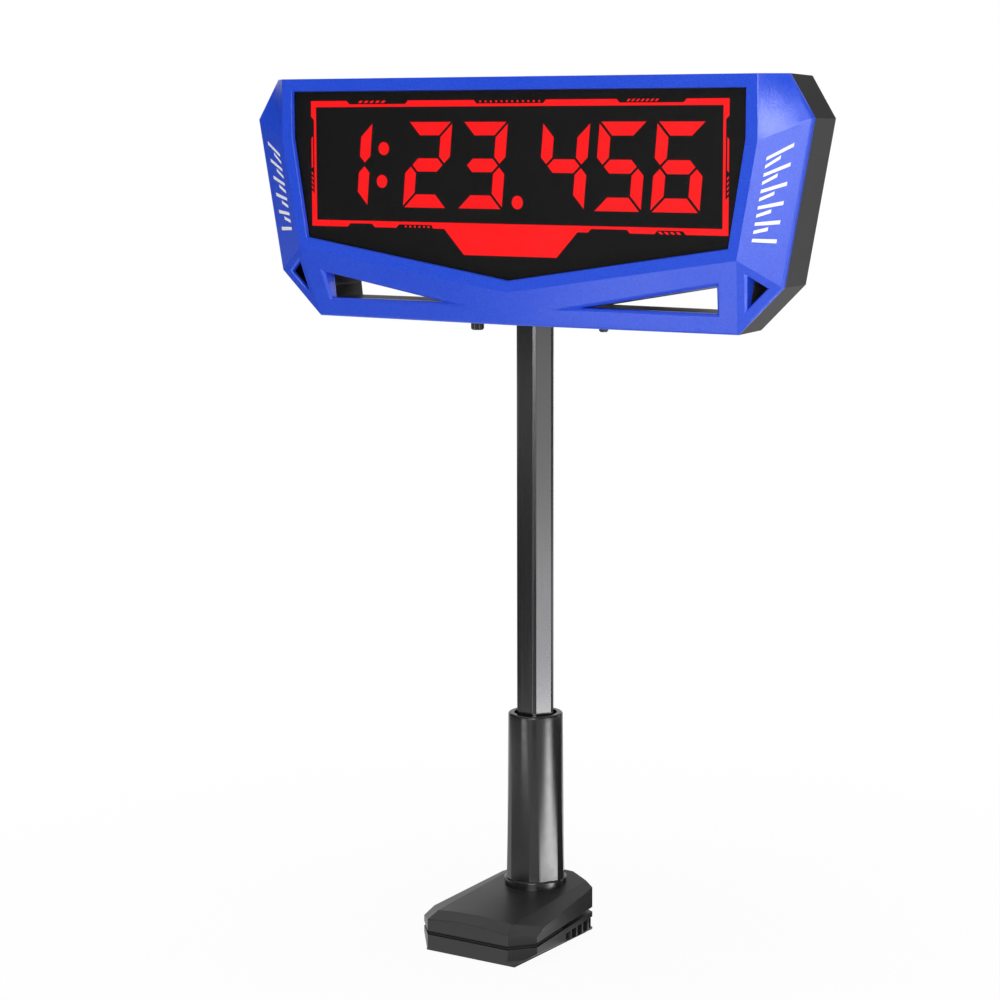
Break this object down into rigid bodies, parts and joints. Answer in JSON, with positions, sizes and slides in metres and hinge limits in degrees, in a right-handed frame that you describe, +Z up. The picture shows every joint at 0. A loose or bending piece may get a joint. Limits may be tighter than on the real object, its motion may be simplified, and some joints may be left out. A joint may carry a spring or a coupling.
{
  "type": "speed cube timer display",
  "caption": "Wide faceted digital timer display with red lit figures, on a hexagonal pole that stands in a round column on a small spring clip base.",
  "frame": {"origin": "on the pole's axis, at the ground: the underside of the foot pad", "axes": "+Z up the pole, +Y to the rear of the display, +X to the right as seen from the front"},
  "size_m": [0.3, 0.0765, 0.4015],
  "materials": {
    "blue_plastic": "fine-grained matt blue moulding",
    "dark_housing": "matt dark grey moulding",
    "base_plastic": "satin black moulding",
    "column_plastic": "glossy black moulding",
    "pole_metal": "black anodised extrusion, satin",
    "plug_plastic": "black moulding",
    "smoked_pane": "clear smoked sheet",
    "red_ink": "red print on the rear of the pane",
    "mask_black": "black sheet",
    "red_light": "red light guide, lit",
    "dark_light": "red light guide, unlit",
    "reflector": "white reflector block",
    "board_green": "green circuit board",
    "part_black": "black component package",
    "contact_metal": "nickel-plated spring plate",
    "cell_metal": "wrapped dry cell; aluminium stands in for its average density",
    "lead_red": "insulated wire",
    "screw_steel": "blackened steel",
    "pin_steel": "ground steel",
    "spring_steel": "drawn spring wire",
    "ballast_steel": "plain steel plate",
    "pad_rubber": "soft black rubber",
    "foot_rubber": "flat dark grey non-slip sheet",
    "knob_plastic": "black ribbed cap"
  },
  "bodies": {
    "base": {"lower_jaw_shell": "base_plastic", "lower_cover": "ballast_steel", "ballast_plate": "ballast_steel", "foot_pad": "foot_rubber", "cover_screws": "screw_steel", "lower_jaw_pad": "pad_rubber", "hinge_pin": "pin_steel", "pin_clips": "spring_steel", "torsion_spring": "spring_steel"},
    "clip": {"upper_jaw_shell": "base_plastic", "upper_jaw_plate": "ballast_steel", "upper_ballast": "ballast_steel", "plate_screws": "screw_steel", "upper_jaw_pad": "pad_rubber", "column_sleeve": "column_plastic", "column_screws": "screw_steel"},
    "pole": {"pole_tube": "pole_metal", "pole_foot_plug": "plug_plastic", "pole_top_plug": "plug_plastic"},
    "head": {"front_bezel": "blue_plastic", "rear_housing": "dark_housing", "window_pane": "smoked_pane", "printed_border": "red_ink", "display_mask": "mask_black", "lit_segments": "red_light", "dark_segments": "dark_light", "point_lights": "red_light", "point_blocks": "reflector", "display_board": "board_green", "board_screws": "screw_steel", "board_connector": "part_black", "control_board": "board_green", "control_chips": "part_black", "control_screws": "screw_steel", "battery_box": "part_black", "battery_cells": "cell_metal", "battery_contacts": "contact_metal", "power_leads": "lead_red", "buzzer": "part_black", "data_socket": "part_black", "switch_body": "part_black", "dimmer_body": "part_black", "button_body": "part_black", "housing_screws": "screw_steel", "digit_block_1": "reflector", "digit_block_2": "reflector", "digit_block_3": "reflector", "digit_block_4": "reflector", "digit_block_5": "reflector", "digit_block_6": "reflector"},
    "knob": {"brightness_knob": "knob_plastic"},
    "button": {"mode_button": "knob_plastic"},
    "switch": {"power_slider": "knob_plastic"},
    "door": {"battery_door": "dark_housing", "door_screws": "screw_steel"}
  },
  "joints": [
    {"name": "clip_hinge", "type": "hinge", "parent": "base", "child": "clip", "pos_m": [0, -0.003, 0.0155], "axis": [-1, 0, 0], "range_deg": [0, 4.5], "stiffness_Nm_per_rad": 1.2, "springref_deg": -20.05, "deforming": ["torsion_spring"]},
    {"name": "pole_lift", "type": "slide", "parent": "clip", "child": "pole", "axis": [0, 0, 1], "range_m": [0, 0.065]},
    {"name": "head_lift", "type": "slide", "parent": "pole", "child": "head", "axis": [0, 0, 1], "range_m": [0, 0.045]},
    {"name": "knob_turn", "type": "hinge", "parent": "head", "child": "knob", "pos_m": [-0.0308, -0.0023, 0.2893], "axis": [0, 0, 1], "range_deg": [-135, 135]},
    {"name": "button_press", "type": "slide", "parent": "head", "child": "button", "axis": [0, 0, 1], "range_m": [0, 0.0006], "stiffness_N_per_m": 400, "springref_m": -0.0008},
    {"name": "switch_slide", "type": "slide", "parent": "head", "child": "switch", "axis": [1, 0, 0], "range_m": [0, 0.003]},
    {"name": "door_lift", "type": "slide", "parent": "head", "child": "door", "axis": [0, 1, 0], "range_m": [0, 0.02]}
  ]
}
